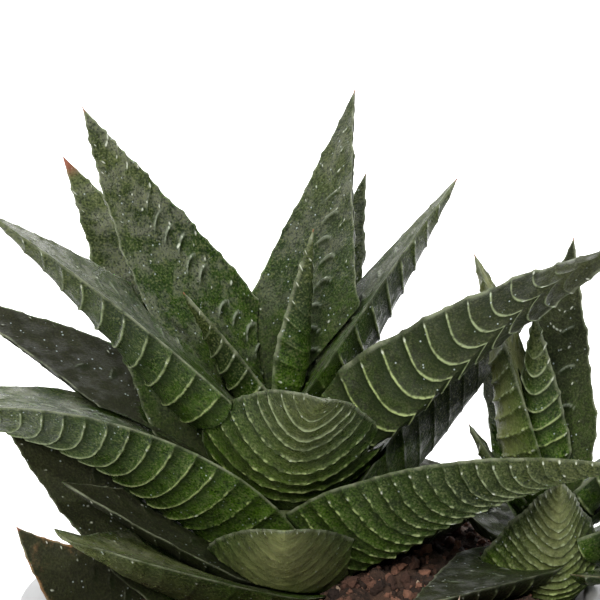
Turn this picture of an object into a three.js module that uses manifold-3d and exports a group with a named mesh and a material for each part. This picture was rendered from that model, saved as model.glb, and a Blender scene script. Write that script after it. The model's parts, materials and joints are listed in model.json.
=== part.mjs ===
// A potted haworthia: a main rosette and one offset rosette in a plain round pot.
// Millimetres, +Z up. The origin is the middle of the pot's flat underside.
// The front of the plant faces -Y, and the offset stands on the +X side.
import * as THREE from 'three';
import { mergeVertices } from 'three/addons/utils/BufferGeometryUtils.js';
import Module from 'manifold-3d';

const wasm = await Module();
wasm.setup();

const DEGREE = Math.PI / 180;

// Clearance between pieces that would touch.
const GAP = 0.3;

// Flat triangles closer than this are joined after a cut.
const TIDY = 0.13;

// Edges shorter than this are closed up after a cut.
const SHORT_EDGE = 0.02;
const WELD_PASSES = 3;
// Triangles on an edge, which is also how many neighbours its ends share where it can be closed up.
const EDGE_SIDES = 2;

// Points of a cut solid nearer than this share a place, and are drawn apart by the distance after it.
const SAME_PLACE = 0.005;
const APART = 0.05;

// Pot: a tapered cup with a thick rounded lip and a flat closed underside.
const POT = {
  rimRadius: 62,
  bodyTopRadius: 59,
  footRadius: 46,
  height: 108,
  wall: 4.5,
  floor: 6,
  footChamfer: 2,
  lipDepth: 15,
  lipRound: 4.4,
  innerRound: 2.6,
  roundSteps: 3,
  segments: 36,
};

// Soil: fills the pot and is heaped up around the stems, with low lumps.
const SOIL = {
  edgeHeight: 101,
  edgeDepth: 3,
  moundHeight: 17,
  moundX: 5,
  moundY: 24,
  moundRadius: 62,
  lumpHeight: 1.3,
  lumpWavesX: 0.61,
  lumpWavesY: 0.53,
  swellHeight: 0.78,
  swellWavesX: 0.23,
  swellWavesY: -0.37,
  wavePhase: 1.3,
  leafClearance: 0.8,
  tidy: 0.25,
  rings: 6,
  segments: 32,
};

// Stems: short tapered pegs that the leaves sit around.
const MAIN_STEM = { x: -8, y: 0, foot: 90, top: 150, footRadius: 12, topRadius: 2.6, segments: 12 };
const OFFSET_STEM = { x: 44, y: 4, foot: 96, top: 136, footRadius: 6, topRadius: 2, segments: 10 };

// Shape shared by all leaves. Shares run from 0 at the base to 1 at the tip.
const LEAF = {
  widestShare: 0.24,
  bulgeShare: 0.27,
  footWidth: 0.72,
  taper: 1.25,
  waist: 0.12,
  footThickness: 0.6,
  thickestShare: 0.3,
  thinning: 2.4,
  tipThickness: 0.62,
  channel: 0.12,
  baseRound: 2.3,
  tipKeel: 1.35,
  ridgeHeight: 0.55,
  innerRidgeHeight: 0.25,
  toothLength: 0.45,
  ridgeArc: 0.09,
  arcPower: 1.6,
  sweepPower: 3.2,
  firstRidge: 0.12,
  lastRidge: 0.93,
  lastRidgeShare: 0.3,
  tipRadius: 0.35,
  spineSteps: 80,
};

// Cross-section of a leaf as shares of the half width: along the underside, then back along the inner face.
const UNDERSIDE = [-1, -0.55, 0, 0.55, 1];
const INNER_FACE = [0.35, -0.35];
const TWIN_INNER_FACE = [1, 0.35, -0.35, -1];

// Each leaf: turn is the compass angle in degrees (0 right, 90 back, 180 left, 270 front),
// base the height where its middle line leaves the stem, rise and tip its steepness at both ends.
// Roll turns the leaf about its own length, and twist adds to the roll towards the tip,
// evenly, or later where twistPower is more than 1.
// Keel shapes the section at the base, where a low value is a sharp keel and 2.3 a round back.
// Arc bends the ridges towards the tip at the margins, and sweep, a length, at the keel.
// Blunt is the half width of a tip that isn't sharp.
// Listed roughly from the youngest, in the middle, to the oldest.
const MAIN_LEAVES = [
  {
    turn: 317, base: 146, length: 37, width: 10.5, thick: 4, rise: 81, tip: 75, ridges: 6,
    roll: 12, twist: -15,
  },
  { turn: 201, base: 138, length: 38.5, width: 17, thick: 5, rise: 60, tip: 52, ridges: 7, keel: 1.6 },
  {
    turn: 16, base: 144, length: 58.5, width: 30, thick: 8.5, rise: 54, tip: 50, ridges: 8,
    roll: -8, keel: 1.6,
  },
  { turn: 63, base: 138.5, length: 74.5, width: 32, thick: 8, rise: 72, tip: 58, ridges: 9, twist: -29 },
  {
    turn: 164, base: 139, length: 78, width: 31.5, thick: 9, rise: 52, tip: 62, ridges: 9,
    roll: -13, twist: -40,
  },
  { turn: 64, base: 128, length: 71, width: 24, thick: 7, rise: 60, tip: 55, ridges: 4 },
  {
    turn: 344, base: 136, length: 88, width: 20, thick: 14.5, rise: 38, tip: 27, ridges: 14,
    roll: -38, twist: -95, twistPower: 2.2, keel: 1.5, arc: 0.02, sweep: 7,
  },
  {
    turn: 278, base: 129, length: 63, width: 36.5, thick: 11, rise: 50, tip: 4.5, ridges: 13,
    roll: -7, twist: -6,
  },
  {
    turn: 202, base: 136, length: 81.5, width: 38, thick: 12, rise: 48, tip: 32, ridges: 9,
    roll: -15, twist: -3, keel: 1.6,
  },
  { turn: 142.5, base: 126.5, length: 87, width: 32, thick: 8, rise: 45, tip: 51, ridges: 9, roll: -37 },
  { turn: 112, base: 124, length: 74, width: 30, thick: 9, rise: 46, tip: 30, ridges: 5 },
  {
    turn: 185.5, base: 115, length: 95.5, width: 42, thick: 14, rise: 57, tip: -20, ridges: 12,
    roll: 13, twist: -22, keel: 1.5, arc: 0.02, sweep: 8,
  },
  {
    turn: 159.5, base: 124, length: 87, width: 31, thick: 9, rise: 38, tip: 17, ridges: 6,
    roll: -12, twist: -10, keel: 1.8,
  },
  {
    turn: 24, base: 118, length: 75.5, width: 33, thick: 12, rise: 42.5, tip: 34, ridges: 9,
    twist: -39, keel: 1.6,
  },
  {
    turn: 332, base: 113, length: 84, width: 34, thick: 13, rise: 41, tip: -2, ridges: 11,
    roll: -15, keel: 1.5, arc: 0.02, sweep: 8,
  },
  { turn: 90, base: 116, length: 66, width: 30, thick: 8, rise: 26, tip: 10, ridges: 5 },
  { turn: 196, base: 113, length: 50, width: 32, thick: 7, rise: 20, tip: 26, ridges: 6, roll: -20 },
  {
    turn: 213, base: 110, length: 54, width: 44, thick: 10, rise: 12, tip: 20, ridges: 8,
    roll: -9, keel: 1.7, blunt: 4,
  },
  {
    turn: 180, base: 111, length: 66.5, width: 42.5, thick: 7, rise: 17, tip: 42, ridges: 8,
    roll: -45, twist: -6,
  },
  { turn: 270, base: 108.5, length: 56, width: 33, thick: 10, rise: 38, tip: 10, ridges: 7 },
  { turn: 46, base: 114, length: 46, width: 22, thick: 5, rise: 8, tip: 4, ridges: 6 },
  { turn: 14, base: 113, length: 46, width: 28, thick: 7, rise: 10, tip: 16, ridges: 4 },
  { turn: 150, base: 112, length: 64, width: 30, thick: 8, rise: 22, tip: 8, ridges: 4 },
  {
    turn: 194, base: 103, length: 62, width: 39.5, thick: 6, rise: -12, tip: 53, ridges: 8,
    roll: -61, twist: -24,
  },
];

const OFFSET_LEAVES = [
  { turn: 250, base: 130, length: 36, width: 12, thick: 4, rise: 80, tip: 80, ridges: 7 },
  {
    turn: 192, base: 125.5, length: 53, width: 22, thick: 8, rise: 84, tip: 64, ridges: 9,
    roll: -9, twist: -28, keel: 1.6,
  },
  { turn: 62, base: 126, length: 53, width: 22, thick: 6, rise: 76, tip: 73, ridges: 7 },
  { turn: 348, base: 120, length: 40, width: 18, thick: 6, rise: 46, tip: 38, ridges: 8 },
  { turn: 120, base: 120, length: 44, width: 16, thick: 5, rise: 60, tip: 50, ridges: 4 },
  { turn: 278, base: 106.5, length: 33.5, width: 25, thick: 11.5, rise: 65, tip: 43, ridges: 11 },
  { turn: 20, base: 116, length: 42, width: 18, thick: 6, rise: 48, tip: 30, ridges: 7 },
  { turn: 169, base: 123, length: 23, width: 12, thick: 4, rise: 42, tip: 56, ridges: 5 },
  { turn: 335, base: 112, length: 42, width: 20, thick: 6, rise: 35, tip: 10, ridges: 7 },
  { turn: 140, base: 116, length: 38, width: 22, thick: 6, rise: 26, tip: 18, ridges: 4 },
  { turn: 232, base: 114, length: 46, width: 24, thick: 6, rise: -4, tip: -2, ridges: 8 },
  { turn: 318, base: 112, length: 30, width: 16, thick: 3, rise: 0, tip: 4, ridges: 6 },
];

// Colours of the parts.
const POT_WHITE = new THREE.MeshStandardMaterial({ color: 0xdcdcda, roughness: 0.3, metalness: 0 });
const SOIL_BROWN = new THREE.MeshStandardMaterial({ color: 0x4a372b, roughness: 0.95, metalness: 0 });
const LEAF_GREEN = new THREE.MeshStandardMaterial({ color: 0x44562f, roughness: 0.45, metalness: 0 });
const STEM_GREEN = new THREE.MeshStandardMaterial({ color: 0x70804c, roughness: 0.6, metalness: 0 });

function blend(from, to, share) {
  return from + (to - from) * share;
}

// Closed triangle mesh to solid.
function toSolid(vertices, triangles) {
  const mesh = new wasm.Mesh({
    numProp: 3,
    vertProperties: new Float32Array(vertices),
    triVerts: new Uint32Array(triangles),
  });
  return new wasm.Manifold(mesh);
}

// Closed geometry to solid.
function geometrySolid(geometry) {
  geometry.deleteAttribute('normal');
  geometry.deleteAttribute('uv');
  const merged = mergeVertices(geometry);
  return toSolid(merged.attributes.position.array, merged.index.array);
}

// Corner points and triangles to geometry.
function surfaceOf(vertices, triangles) {
  const geometry = new THREE.BufferGeometry();
  geometry.setAttribute('position', new THREE.Float32BufferAttribute(vertices, 3));
  geometry.setIndex(triangles);
  return geometry;
}

// Solid back to a named part.
function toPart(name, solid, material) {
  const mesh = solid.getMesh();
  const geometry = surfaceOf(mesh.vertProperties, Array.from(mesh.triVerts));
  geometry.computeVertexNormals();
  const part = new THREE.Mesh(geometry, material);
  part.name = name;
  return part;
}

// Largest body of a solid, for when a cut leaves crumbs behind.
function largestBody(solid) {
  const bodies = solid.decompose();
  let best = bodies[0];
  for (const body of bodies) {
    if (body.volume() > best.volume()) {
      best = body;
    }
  }
  return best;
}

// Edges of a mesh, each as two points, and the neighbours of every point.
function meshEdges(corners) {
  const following = (corner) => (corner % 3 === 2 ? corner - 2 : corner + 1);
  const edges = corners.map((from, corner) => [from, corners[following(corner)]]);
  const neighbours = new Map(corners.map((point) => [point, new Set()]));
  for (const [from, to] of edges) {
    neighbours.get(from).add(to);
  }
  return { edges, neighbours };
}

// The same solid with the points at both ends of a very short edge made one.
// An edge stays where its ends share more than two neighbours, since joining them would pinch the surface.
function weld(solid) {
  const mesh = solid.getMesh();
  const place = (point) => new THREE.Vector3().fromArray(mesh.vertProperties, 3 * point);
  const corners = Array.from(mesh.triVerts);
  const { edges, neighbours } = meshEdges(corners);
  const joined = new Map();
  const settled = new Set();
  for (const [from, to] of edges) {
    const near = [...neighbours.get(from), ...neighbours.get(to)];
    const shared = [...neighbours.get(from)].filter((point) => neighbours.get(to).has(point));
    const free = !near.some((point) => settled.has(point));
    if (free && shared.length === EDGE_SIDES && place(from).distanceTo(place(to)) < SHORT_EDGE) {
      joined.set(to, from);
      near.forEach((point) => settled.add(point));
    }
  }
  const triangles = [];
  for (let corner = 0; corner < corners.length; corner += 3) {
    const [a, b, c] = corners.slice(corner, corner + 3).map((point) => joined.get(point) ?? point);
    if (a !== b && b !== c && c !== a) {
      triangles.push(a, b, c);
    }
  }
  return toSolid(mesh.vertProperties, triangles);
}

// The same solid with a point that shares its place with another drawn a little towards its own neighbours.
function drawApart(solid) {
  const mesh = solid.getMesh();
  const vertices = Float32Array.from(mesh.vertProperties);
  const place = (point) => new THREE.Vector3().fromArray(vertices, 3 * point);
  const corners = Array.from(mesh.triVerts);
  const { neighbours } = meshEdges(corners);
  const taken = new Set();
  for (const [point, near] of neighbours) {
    const spot = place(point).divideScalar(SAME_PLACE).round().toArray().join();
    if (taken.has(spot)) {
      const middle = new THREE.Vector3();
      near.forEach((neighbour) => middle.addScaledVector(place(neighbour), 1 / near.size));
      const away = middle.sub(place(point)).setLength(APART);
      place(point).add(away).toArray(vertices, 3 * point);
    }
    taken.add(spot);
  }
  return toSolid(vertices, corners);
}

// The largest body with its nearly flat triangles joined and its close points made one.
function tidyBody(solid, tolerance = TIDY) {
  let body = largestBody(solid).simplify(tolerance);
  for (let pass = 0; pass < WELD_PASSES; pass += 1) {
    body = weld(body);
  }
  return drawApart(largestBody(body));
}

// Steepness and compass angle of a leaf at a length share, in radians.
function leafHeading(leaf, share) {
  return {
    rise: blend(leaf.rise, leaf.tip, share) * DEGREE,
    turn: leaf.turn * DEGREE,
  };
}

function headingVector({ rise, turn }) {
  return new THREE.Vector3(
    Math.cos(rise) * Math.cos(turn),
    Math.cos(rise) * Math.sin(turn),
    Math.sin(rise),
  );
}

// Centre line of a leaf: returns a function from the length share to a place and its directions.
function leafSpine(leaf, stem) {
  const steps = LEAF.spineSteps;
  const places = [new THREE.Vector3(stem.x, stem.y, leaf.base)];
  for (let step = 0; step < steps; step += 1) {
    const ahead = headingVector(leafHeading(leaf, (step + 0.5) / steps));
    places.push(places[step].clone().addScaledVector(ahead, leaf.length / steps));
  }
  return (share) => {
    const step = Math.min(share * steps, steps - 0.001);
    const low = Math.floor(step);
    const place = places[low].clone().lerp(places[low + 1], step - low);
    const heading = leafHeading(leaf, share);
    const along = headingVector(heading);
    const side = new THREE.Vector3(-Math.sin(heading.turn), Math.cos(heading.turn), 0);
    const above = new THREE.Vector3().crossVectors(along, side);
    const roll = ((leaf.roll ?? 0) + (leaf.twist ?? 0) * share ** (leaf.twistPower ?? 1)) * DEGREE;
    const across = side.clone().multiplyScalar(Math.cos(roll)).addScaledVector(above, Math.sin(roll));
    const up = above.clone().multiplyScalar(Math.cos(roll)).addScaledVector(side, -Math.sin(roll));
    return { place, across, up };
  };
}

// Half width of a leaf at a length share.
function halfWidth(leaf, share) {
  const widest = leaf.width / 2;
  if (share < LEAF.widestShare) {
    const swell = Math.sin((Math.PI / 2) * (share / LEAF.widestShare));
    return widest * blend(LEAF.footWidth, 1, swell);
  }
  const rest = (share - LEAF.widestShare) / (1 - LEAF.widestShare);
  const outline = (1 - rest ** LEAF.taper) * (1 - LEAF.waist * rest);
  return Math.max(widest * outline, leaf.blunt ?? LEAF.tipRadius);
}

// Thickness of a leaf along its keel at a length share.
function thickness(leaf, share) {
  const swell = Math.min(share / LEAF.thickestShare, 1);
  const fall = (1 - share ** LEAF.thinning) * blend(1, LEAF.tipThickness, share);
  return Math.max(leaf.thick * blend(LEAF.footThickness, 1, swell) * fall, LEAF.tipRadius);
}

// How far a ridge lies towards the tip from its own length share, at a place across the leaf.
function ridgeBend(leaf, share, across) {
  const atMargin = (leaf.arc ?? LEAF.ridgeArc) * Math.abs(across) ** LEAF.arcPower;
  const atKeel = ((leaf.sweep ?? 0) / leaf.length) * (1 - Math.abs(across)) ** LEAF.sweepPower;
  return 4 * share * (1 - share) * (atMargin + atKeel);
}

// One point of a leaf's surface. Crest raises it on a ridge, and grow thickens the whole leaf.
function leafPoint(leaf, spine, row, across, under, grow) {
  const share = Math.min(row.share + ridgeBend(leaf, row.share, across), 1);
  const half = halfWidth(leaf, share) + row.crest * LEAF.toothLength + grow;
  const bulk = 1 - Math.abs(across) ** blend(leaf.keel ?? LEAF.baseRound, LEAF.tipKeel, share);
  let height = LEAF.channel * half * across * across;
  if (under) {
    height -= bulk * (thickness(leaf, share) + row.crest * LEAF.ridgeHeight) + grow;
  } else {
    height += bulk * row.crest * LEAF.innerRidgeHeight + grow;
  }
  const frame = spine(share);
  return frame.place.addScaledVector(frame.across, half * across).addScaledVector(frame.up, height);
}

// Rows of a leaf: a crest for each ridge, with a valley between one ridge and the next.
function leafRows(leaf) {
  const rows = [{ share: 0, crest: 0 }];
  const spacing = (LEAF.lastRidge - LEAF.firstRidge) / (leaf.ridges - 1);
  for (let ridge = 0; ridge < leaf.ridges; ridge += 1) {
    const share = LEAF.firstRidge + ridge * spacing;
    const last = ridge === leaf.ridges - 1;
    rows.push({ share, crest: last ? LEAF.lastRidgeShare : 1 });
    if (!last) {
      rows.push({ share: share + spacing / 2, crest: 0 });
    }
  }
  rows.push({ share: 1, crest: 0 });
  return rows;
}

// Rows of the smooth, slightly larger twin of a leaf that its neighbours are cut with:
// all rows where the leaf bulges most, and beyond that only the crests and the tip.
function twinRows(leaf) {
  const wanted = (row) => row.crest > 0 || row.share < LEAF.bulgeShare || row.share === 1;
  const kept = leafRows(leaf).filter(wanted);
  return kept.map((row) => ({ share: row.share, crest: 1 }));
}

// Rows of the plainer twin of a leaf that the soil is hollowed with.
const HOLLOW_ROWS = [0, 0.12, 0.24, 0.4, 0.6, 0.8, 1].map((share) => ({ share, crest: 1 }));

// A leaf as a closed loft of cross-sections. Grow is 0 for the leaf itself.
function leafSolid(leaf, stem, rows, grow = 0) {
  const spine = leafSpine(leaf, stem);
  const innerFace = grow > 0 ? TWIN_INNER_FACE : INNER_FACE;
  const vertices = [];
  for (const row of rows) {
    for (const across of UNDERSIDE) {
      vertices.push(...leafPoint(leaf, spine, row, across, true, grow).toArray());
    }
    for (const across of innerFace) {
      vertices.push(...leafPoint(leaf, spine, row, across, false, grow).toArray());
    }
  }
  const around = UNDERSIDE.length + innerFace.length;
  const triangles = [];
  for (let row = 0; row < rows.length - 1; row += 1) {
    for (let point = 0; point < around; point += 1) {
      const a = row * around + point;
      const b = row * around + ((point + 1) % around);
      triangles.push(a, b, a + around, b, b + around, a + around);
    }
  }
  const last = (rows.length - 1) * around;
  for (let point = 1; point < around - 1; point += 1) {
    triangles.push(0, point + 1, point);
    triangles.push(last, last + point, last + point + 1);
  }
  return geometrySolid(surfaceOf(vertices, triangles));
}

// A stem as a tapered peg. Grow widens it and adds to both ends.
function stemSolid(stem, grow = 0) {
  const height = stem.top - stem.foot + 2 * grow;
  const topRadius = stem.topRadius + grow;
  const footRadius = stem.footRadius + grow;
  const peg = new THREE.CylinderGeometry(topRadius, footRadius, height, stem.segments);
  peg.rotateX(Math.PI / 2);
  peg.translate(stem.x, stem.y, (stem.foot + stem.top) / 2);
  return geometrySolid(peg);
}

// Points of a rounded edge between two angles, about a centre in the profile.
function roundEdge(centreRadius, centreHeight, radius, from, to) {
  const points = [];
  for (let step = 0; step <= POT.roundSteps; step += 1) {
    const angle = blend(from, to, step / POT.roundSteps) * DEGREE;
    points.push(new THREE.Vector2(
      centreRadius + radius * Math.cos(angle),
      centreHeight + radius * Math.sin(angle),
    ));
  }
  return points;
}

// Radius of the pot's inside at a height.
function potInside(height) {
  const share = (height - POT.floor) / (POT.height - POT.floor);
  return blend(POT.footRadius - POT.wall, POT.rimRadius - 2 * POT.wall, share);
}

// The pot as a turned solid, from the middle of its foot round to the middle of its floor.
// Grow adds to it all round.
function potSolid(grow = 0) {
  const lipFoot = POT.height - POT.lipDepth;
  const innerTop = POT.height - POT.innerRound;
  const profile = [
    new THREE.Vector2(0, -grow),
    new THREE.Vector2(POT.footRadius - POT.footChamfer, -grow),
    new THREE.Vector2(POT.footRadius + grow, POT.footChamfer),
    new THREE.Vector2(POT.bodyTopRadius + grow, lipFoot),
    new THREE.Vector2(POT.rimRadius + grow, lipFoot + POT.rimRadius - POT.bodyTopRadius),
    ...roundEdge(POT.rimRadius - POT.lipRound, POT.height - POT.lipRound, POT.lipRound + grow, 0, 90),
    ...roundEdge(potInside(innerTop) + POT.innerRound, innerTop, POT.innerRound + grow, 90, 180),
    new THREE.Vector2(potInside(POT.floor) - grow, POT.floor + grow),
    new THREE.Vector2(0, POT.floor + grow),
  ];
  const cup = new THREE.LatheGeometry(profile, POT.segments);
  cup.rotateX(Math.PI / 2);
  return geometrySolid(cup);
}

// Height of the soil's surface at a place.
function soilHeight(x, y) {
  const away = Math.hypot(x - SOIL.moundX, y - SOIL.moundY) / SOIL.moundRadius;
  const mound = SOIL.moundHeight * (1 - Math.min(away, 1) ** 2);
  const lump = Math.sin(SOIL.lumpWavesX * x + SOIL.wavePhase) * Math.cos(SOIL.lumpWavesY * y);
  const swell = Math.sin(SOIL.swellWavesX * x + SOIL.swellWavesY * y + SOIL.wavePhase);
  return SOIL.edgeHeight + mound + SOIL.lumpHeight * lump + SOIL.swellHeight * swell;
}

// The soil as rings: the foot, the edge at the pot's wall, and the lumpy surface to the middle.
function soilSolid() {
  const foot = POT.floor + GAP;
  const edge = SOIL.edgeHeight - SOIL.edgeDepth;
  const vertices = [0, 0, foot];
  const around = SOIL.segments;
  const addRing = (radius, heightAt) => {
    for (let k = 0; k < around; k += 1) {
      const angle = (k / around) * 2 * Math.PI;
      const x = radius * Math.cos(angle);
      const y = radius * Math.sin(angle);
      vertices.push(x, y, heightAt(x, y));
    }
  };
  const topRadius = potInside(edge) - 2 * GAP;
  addRing(potInside(foot) - 2 * GAP, () => foot);
  addRing(topRadius, () => edge);
  for (let ring = SOIL.rings; ring > 0; ring -= 1) {
    addRing((topRadius * ring) / SOIL.rings, soilHeight);
  }
  vertices.push(0, 0, soilHeight(0, 0));
  const rings = SOIL.rings + 2;
  const centre = 1 + rings * around;
  const innermost = 1 + (rings - 1) * around;
  const triangles = [];
  for (let k = 0; k < around; k += 1) {
    const next = (k + 1) % around;
    triangles.push(0, 1 + next, 1 + k);
    for (let ring = 0; ring < rings - 1; ring += 1) {
      const a = 1 + ring * around + k;
      const b = 1 + ring * around + next;
      triangles.push(a, b, a + around, b, b + around, a + around);
    }
    triangles.push(innermost + k, innermost + next, centre);
  }
  return geometrySolid(surfaceOf(vertices, triangles));
}

// A rosette's leaves as a group, and the room that they and what was there before take up.
// Each leaf is cut clear of what is already taken, and then takes its own room.
function growRosette(plant, leaves, stem, taken) {
  const rosette = new THREE.Group();
  let room = taken.add(stemSolid(stem, GAP));
  leaves.forEach((leaf, index) => {
    const whole = leafSolid(leaf, stem, leafRows(leaf));
    const solid = tidyBody(whole.subtract(room));
    const number = String(index + 1).padStart(2, '0');
    rosette.add(toPart(`${plant}_leaf_${number}`, solid, LEAF_GREEN));
    room = room.add(leafSolid(leaf, stem, twinRows(leaf), GAP));
  });
  return { rosette, room };
}

// The soil with plain holes for the stems and hollows for the leaves that lie on it.
function hollowedSoil(rosettes) {
  let soil = soilSolid();
  for (const [leaves, stem] of rosettes) {
    soil = soil.subtract(stemSolid(stem, GAP));
    for (const leaf of leaves) {
      soil = soil.subtract(leafSolid(leaf, stem, HOLLOW_ROWS, SOIL.leafClearance));
    }
  }
  return tidyBody(soil, SOIL.tidy);
}

const main = growRosette('main', MAIN_LEAVES, MAIN_STEM, potSolid(GAP));
const offset = growRosette('offset', OFFSET_LEAVES, OFFSET_STEM, main.room);
main.rosette.add(toPart('main_stem', stemSolid(MAIN_STEM), STEM_GREEN));
offset.rosette.add(toPart('offset_stem', stemSolid(OFFSET_STEM), STEM_GREEN));

const group = new THREE.Group();
group.name = 'potted_haworthia';
group.add(main.rosette);
group.add(offset.rosette);
const soil = hollowedSoil([[MAIN_LEAVES, MAIN_STEM], [OFFSET_LEAVES, OFFSET_STEM]]);
group.add(toPart('soil', soil, SOIL_BROWN));
group.add(toPart('pot', potSolid(), POT_WHITE));

export default group;
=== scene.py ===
import json
import math
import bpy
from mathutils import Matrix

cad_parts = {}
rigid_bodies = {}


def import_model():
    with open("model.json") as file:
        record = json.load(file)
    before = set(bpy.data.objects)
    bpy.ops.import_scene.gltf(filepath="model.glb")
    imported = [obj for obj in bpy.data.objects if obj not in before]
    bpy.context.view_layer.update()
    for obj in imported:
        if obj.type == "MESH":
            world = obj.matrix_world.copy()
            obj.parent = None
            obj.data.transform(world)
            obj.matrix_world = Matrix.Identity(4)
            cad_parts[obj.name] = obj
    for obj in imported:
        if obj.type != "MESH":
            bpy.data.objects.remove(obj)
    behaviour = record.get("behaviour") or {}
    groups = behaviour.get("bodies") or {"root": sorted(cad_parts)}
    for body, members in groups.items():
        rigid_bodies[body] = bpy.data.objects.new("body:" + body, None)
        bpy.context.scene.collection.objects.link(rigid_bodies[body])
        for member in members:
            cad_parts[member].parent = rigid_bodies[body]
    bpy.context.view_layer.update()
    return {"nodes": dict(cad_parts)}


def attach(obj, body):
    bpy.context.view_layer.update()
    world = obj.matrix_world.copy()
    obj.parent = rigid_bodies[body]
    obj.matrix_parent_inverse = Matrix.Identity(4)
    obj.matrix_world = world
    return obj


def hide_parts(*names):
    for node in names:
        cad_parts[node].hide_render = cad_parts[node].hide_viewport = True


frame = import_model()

from types import SimpleNamespace

import bmesh
import bpy
import numpy as np
from mathutils import Vector, noise
from mathutils.bvhtree import BVHTree

# A potted haworthia: fine leaves, soil and a glazed pot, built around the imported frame.
# Shapes are worked out in millimetres, as in the part's source, and written in metres.

MM = 0.001
DEGREE = math.pi / 180
WHOLE_TURN = 2 * math.pi
SEED = 7

# Clearance that one piece keeps from the next
GAP = 0.3

# Radius of the small flats at the axis that close the pot and the soil's underside
CENTRE_RADIUS = 0.5

# Stems that the leaves sit around, as in the part
MAIN_STEM = SimpleNamespace(x=-8, y=0, foot=90, top=150, foot_radius=12, top_radius=2.6)
OFFSET_STEM = SimpleNamespace(x=44, y=4, foot=96, top=136, foot_radius=6, top_radius=2)
STEM_SIDES = 24

# Shape shared by all leaves, as in the part. Shares run from 0 at the base to 1 at the tip.
WIDEST_SHARE = 0.24
FOOT_WIDTH = 0.72
TAPER = 1.25
WAIST = 0.12
FOOT_THICKNESS = 0.6
THICKEST_SHARE = 0.3
THINNING = 2.4
TIP_THICKNESS = 0.62
CHANNEL = 0.12
BASE_ROUND = 2.3
TIP_KEEL = 1.35
RIDGE_ARC = 0.09
ARC_POWER = 1.6
SWEEP_POWER = 3.2
FIRST_RIDGE = 0.12
LAST_RIDGE = 0.93
SPINE_STEPS = 80

# Ridges of the underside: sizes in millimetres, waves in radians a millimetre, and parts of
# their full strength. A fade is the two shares at which the strength is nothing and full.
RIDGE_HEIGHT = 0.4
RIDGE_HALF_WIDTH = 0.27
RIDGE_WAVER = 0.14
STEADY_WAVER = 0.4
WAVER_WAVE = 1.9
MOST_SLANT = 1.7
EVEN_PART = 0.82
UNEVEN_PART = 0.18
SHORT_WAVE = 2.3
LONG_WAVE = 0.9
BUMP_WAVE = 3.1
BUMP_FOOT = 0.6
BUMP_RISE = 0.5
RIDGE_AT_TIP = 0.12
RIDGE_SIDE_FADE = (1.0, 0.86)
RIDGE_TIP_FADE = (0.92, 0.6)
SWELL_HEIGHT = 0.18

# Short arches of the inner face, and the painted shade under each
ARCH_CHANCE = 0.85
ARCH_SCATTER = 0.12
LOOSE_SCATTER = 0.35
ARCH_REACH = (2.0, 3.2)
ARCH_ROUND = 4.2
ARCH_HALF_WIDTH = 0.34
ARCH_HEIGHT = 1.3
ARCH_TIP_FADE = (0.85, 0.55)
LEAST_RELIEF = 0.3
ARCH_SHADE_BELOW = 0.85
ARCH_SHADE_HALF_WIDTH = 0.55
ARCH_SHADE_NARROWING = 1.3

# Painted shade: the dark band below each ridge, where its shadow falls. It rises over a part of the
# way from one ridge to the next.
SHADE_RISE = (0.3, 0.9)
SHADE_TIP_FADE = (0.85, 0.45)
SHADE_LOST_LOW_DOWN = 0.4

# Edges and teeth. The edge's wobble starts at the first half width given and is full at the
# second.
EDGE_HALF_THICKNESS = 0.28
TIP_HALF_WIDTH = 0.12
TOOTH_LENGTH = 0.45
TOOTH_HALF_WIDTH = 0.7
TOOTH_SIZES = (0.3, 1)
TOOTH_TIP_FADE = (0.02, 0.15)
WOBBLE_HEIGHT = 0.22
WOBBLE_SIZE = 11
WOBBLE_TIP_FADE = (0, 0.2)
WOBBLE_WIDTHS = (1.5, 5)
KEEL_WOBBLE = 0.5
RIPPLE_WAVES = 5
RIPPLE_PITCHES = (0.7, 1.6)

# Pearls are small round bumps. Each kind has a range of places across the leaf and of radii in
# millimetres. All but the last have a chance at every ridge, and the last are a leaf's beads.
PEARL_HEIGHT = 0.26
EDGE_PEARL = SimpleNamespace(chance=0.85, across=(0.84, 0.93), radius=(0.24, 0.36), inside=False)
INNER_PEARL = SimpleNamespace(chance=0.6, across=(0.3, 0.8), radius=(0.26, 0.42), inside=True)
KEEL_PEARL = SimpleNamespace(chance=0.35, across=(-0.5, 0.5), radius=(0.26, 0.4), inside=False)
ARCH_PEARL = SimpleNamespace(across=(-0.45, 0.45), radius=(0.3, 0.46), inside=True)

# Where the colours of a leaf change, in shares of its length. At the edge it is the distance in
# millimetres, and at dry margins the share of the half width.
EDGE_FADE = (0.5, 0.1)
YOUNG_FADE = (0.62, 0.12)
OUTER_RISE = (0.45, 0.95)
DEEP_FADE = (0.5, 0.2)
PALE_RISE = (0, 0.3)
PALE_POWER = 1.5
RED_RISE = 0.2
DRY_TIP = 0.6
DRY_TIP_RISE = (0.55, 1.0)
DRY_MARGIN_LEAD = 0.35
DRY_MARGIN_RISE = (0.75, 0.98)

# Rows of points along a leaf, close together on each ridge, and points across it
RIDGE_ROWS = (-1.0, -0.62, -0.4, -0.2, 0, 0.2, 0.4, 0.62, 1.0)
ROW_SPACING = 0.85
CLOSEST_ROWS = 0.08
SHARE_DIGITS = 4
TIP_ROWS = 8
ACROSS_PER_MM = 0.85
FEWEST_ACROSS = 14
MOST_ACROSS = 32
MORE_UNDER = 13
MORE_INNER = 5

# Room that a leaf takes from the leaves cut by it
ROOM_CREST = 0.55
ROOM_ROWS = 24
ROOM_UNDER = 13
ROOM_INNER = (1, 0.6, 0.2, -0.2, -0.6, -1)

# Steepest turn between two faces that still shade as one smooth skin
SMOOTH_ANGLE = 50 * DEGREE


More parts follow.
